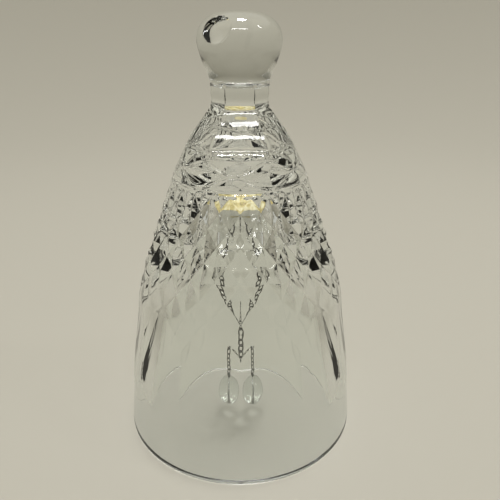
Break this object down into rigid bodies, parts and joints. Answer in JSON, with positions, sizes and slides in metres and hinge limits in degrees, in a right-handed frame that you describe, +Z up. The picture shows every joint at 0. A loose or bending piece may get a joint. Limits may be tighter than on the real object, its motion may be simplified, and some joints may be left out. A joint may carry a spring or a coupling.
{
  "type": "table bell",
  "caption": "Upright clear cut-glass hand bell with a six-sided neck and round knob, and a glass ball clapper on a fine link chain.",
  "frame": {"origin": "centre of the rim's lower face, on the surface that the bell stands on", "axes": "+Z up along the bell's axis to the knob; one flat of the six-sided neck faces -Y"},
  "size_m": [0.075, 0.075, 0.127],
  "materials": {
    "crystal": "polished",
    "clapper_glass": "polished",
    "cement": "satin",
    "steel_wire": "bright drawn wire"
  },
  "bodies": {
    "bell": {"bell_glass": "crystal", "cement_plug": "cement", "hanger_eye": "steel_wire"},
    "link_01": {"chain_link_01": "steel_wire"},
    "link_02": {"chain_link_02": "steel_wire"},
    "link_03": {"chain_link_03": "steel_wire"},
    "link_04": {"chain_link_04": "steel_wire"},
    "link_05": {"chain_link_05": "steel_wire"},
    "link_06": {"chain_link_06": "steel_wire"},
    "link_07": {"chain_link_07": "steel_wire"},
    "link_08": {"chain_link_08": "steel_wire"},
    "link_09": {"chain_link_09": "steel_wire"},
    "link_10": {"chain_link_10": "steel_wire"},
    "link_11": {"chain_link_11": "steel_wire"},
    "link_12": {"chain_link_12": "steel_wire"},
    "link_13": {"chain_link_13": "steel_wire"},
    "link_14": {"chain_link_14": "steel_wire"},
    "link_15": {"chain_link_15": "steel_wire"},
    "link_16": {"chain_link_16": "steel_wire"},
    "link_17": {"chain_link_17": "steel_wire"},
    "link_18": {"chain_link_18": "steel_wire"},
    "link_19": {"chain_link_19": "steel_wire"},
    "link_20": {"chain_link_20": "steel_wire"},
    "link_21": {"chain_link_21": "steel_wire"},
    "link_22": {"chain_link_22": "steel_wire"},
    "link_23": {"chain_link_23": "steel_wire"},
    "link_24": {"chain_link_24": "steel_wire"},
    "link_25": {"chain_link_25": "steel_wire"},
    "link_26": {"chain_link_26": "steel_wire"},
    "pin": {"eye_pin": "steel_wire"},
    "ball": {"clapper_ball": "clapper_glass"}
  },
  "joints": [
    {"name": "link_01_swing", "type": "hinge", "parent": "bell", "child": "link_01", "pos_m": [0, 0, 0.07119], "axis": [0.7071, 0.7071, 0], "range_deg": [-21, 21]},
    {"name": "link_02_swing", "type": "hinge", "parent": "link_01", "child": "link_02", "pos_m": [0, 0, 0.06924], "axis": [-0.7071, 0.7071, 0], "range_deg": [-21, 21]},
    {"name": "link_03_swing", "type": "hinge", "parent": "link_02", "child": "link_03", "pos_m": [0, 0, 0.06716], "axis": [-0.7071, -0.7071, 0], "range_deg": [-21, 21]},
    {"name": "link_04_swing", "type": "hinge", "parent": "link_03", "child": "link_04", "pos_m": [0, 0, 0.06508], "axis": [0.7071, -0.7071, 0], "range_deg": [-21, 21]},
    {"name": "link_05_swing", "type": "hinge", "parent": "link_04", "child": "link_05", "pos_m": [0, 0, 0.063], "axis": [0.7071, 0.7071, 0], "range_deg": [-21, 21]},
    {"name": "link_06_swing", "type": "hinge", "parent": "link_05", "child": "link_06", "pos_m": [0, 0, 0.06093], "axis": [-0.7071, 0.7071, 0], "range_deg": [-21, 21]},
    {"name": "link_07_swing", "type": "hinge", "parent": "link_06", "child": "link_07", "pos_m": [0, 0, 0.05885], "axis": [-0.7071, -0.7071, 0], "range_deg": [-21, 21]},
    {"name": "link_08_swing", "type": "hinge", "parent": "link_07", "child": "link_08", "pos_m": [0, 0, 0.05677], "axis": [0.7071, -0.7071, 0], "range_deg": [-21, 21]},
    {"name": "link_09_swing", "type": "hinge", "parent": "link_08", "child": "link_09", "pos_m": [0, 0, 0.05469], "axis": [0.7071, 0.7071, 0], "range_deg": [-29, 29]},
    {"name": "link_10_swing", "type": "hinge", "parent": "link_09", "child": "link_10", "pos_m": [0, 0, 0.05262], "axis": [-0.7071, 0.7071, 0], "range_deg": [-29, 29]},
    {"name": "link_11_swing", "type": "hinge", "parent": "link_10", "child": "link_11", "pos_m": [0, 0, 0.05054], "axis": [-0.7071, -0.7071, 0], "range_deg": [-29, 29]},
    {"name": "link_12_swing", "type": "hinge", "parent": "link_11", "child": "link_12", "pos_m": [0, 0, 0.04846], "axis": [0.7071, -0.7071, 0], "range_deg": [-29, 29]},
    {"name": "link_13_swing", "type": "hinge", "parent": "link_12", "child": "link_13", "pos_m": [0, 0, 0.04638], "axis": [0.7071, 0.7071, 0], "range_deg": [-29, 29]},
    {"name": "link_14_swing", "type": "hinge", "parent": "link_13", "child": "link_14", "pos_m": [0, 0, 0.0443], "axis": [-0.7071, 0.7071, 0], "range_deg": [-29, 29]},
    {"name": "link_15_swing", "type": "hinge", "parent": "link_14", "child": "link_15", "pos_m": [0, 0, 0.04223], "axis": [-0.7071, -0.7071, 0], "range_deg": [-38, 38]},
    {"name": "link_16_swing", "type": "hinge", "parent": "link_15", "child": "link_16", "pos_m": [0, 0, 0.04015], "axis": [0.7071, -0.7071, 0], "range_deg": [-38, 38]},
    {"name": "link_17_swing", "type": "hinge", "parent": "link_16", "child": "link_17", "pos_m": [0, 0, 0.03807], "axis": [0.7071, 0.7071, 0], "range_deg": [-38, 38]},
    {"name": "link_18_swing", "type": "hinge", "parent": "link_17", "child": "link_18", "pos_m": [0, 0, 0.03599], "axis": [-0.7071, 0.7071, 0], "range_deg": [-38, 38]},
    {"name": "link_19_swing", "type": "hinge", "parent": "link_18", "child": "link_19", "pos_m": [0, 0, 0.03392], "axis": [-0.7071, -0.7071, 0], "range_deg": [-45, 45]},
    {"name": "link_20_swing", "type": "hinge", "parent": "link_19", "child": "link_20", "pos_m": [0, 0, 0.03184], "axis": [0.7071, -0.7071, 0], "range_deg": [-45, 45]},
    {"name": "link_21_swing", "type": "hinge", "parent": "link_20", "child": "link_21", "pos_m": [0, 0, 0.02976], "axis": [0.7071, 0.7071, 0], "range_deg": [-45, 45]},
    {"name": "link_22_swing", "type": "hinge", "parent": "link_21", "child": "link_22", "pos_m": [0, 0, 0.02768], "axis": [-0.7071, 0.7071, 0], "range_deg": [-45, 45]},
    {"name": "link_23_swing", "type": "hinge", "parent": "link_22", "child": "link_23", "pos_m": [0, 0, 0.02561], "axis": [-0.7071, -0.7071, 0], "range_deg": [-45, 45]},
    {"name": "link_24_swing", "type": "hinge", "parent": "link_23", "child": "link_24", "pos_m": [0, 0, 0.02353], "axis": [0.7071, -0.7071, 0], "range_deg": [-45, 45]},
    {"name": "link_25_swing", "type": "hinge", "parent": "link_24", "child": "link_25", "pos_m": [0, 0, 0.02145], "axis": [0.7071, 0.7071, 0], "range_deg": [-45, 45]},
    {"name": "link_26_swing", "type": "hinge", "parent": "link_25", "child": "link_26", "pos_m": [0, 0, 0.01937], "axis": [-0.7071, 0.7071, 0], "range_deg": [-45, 45]},
    {"name": "pin_swing", "type": "hinge", "parent": "link_26", "child": "pin", "pos_m": [0, 0, 0.0173], "axis": [-0.7071, -0.7071, 0], "range_deg": [-45, 45]},
    {"name": "ball_turn", "type": "hinge", "parent": "pin", "child": "ball", "pos_m": [0, 0, 0.0106], "axis": [0, 0, 1], "continuous": true}
  ]
}
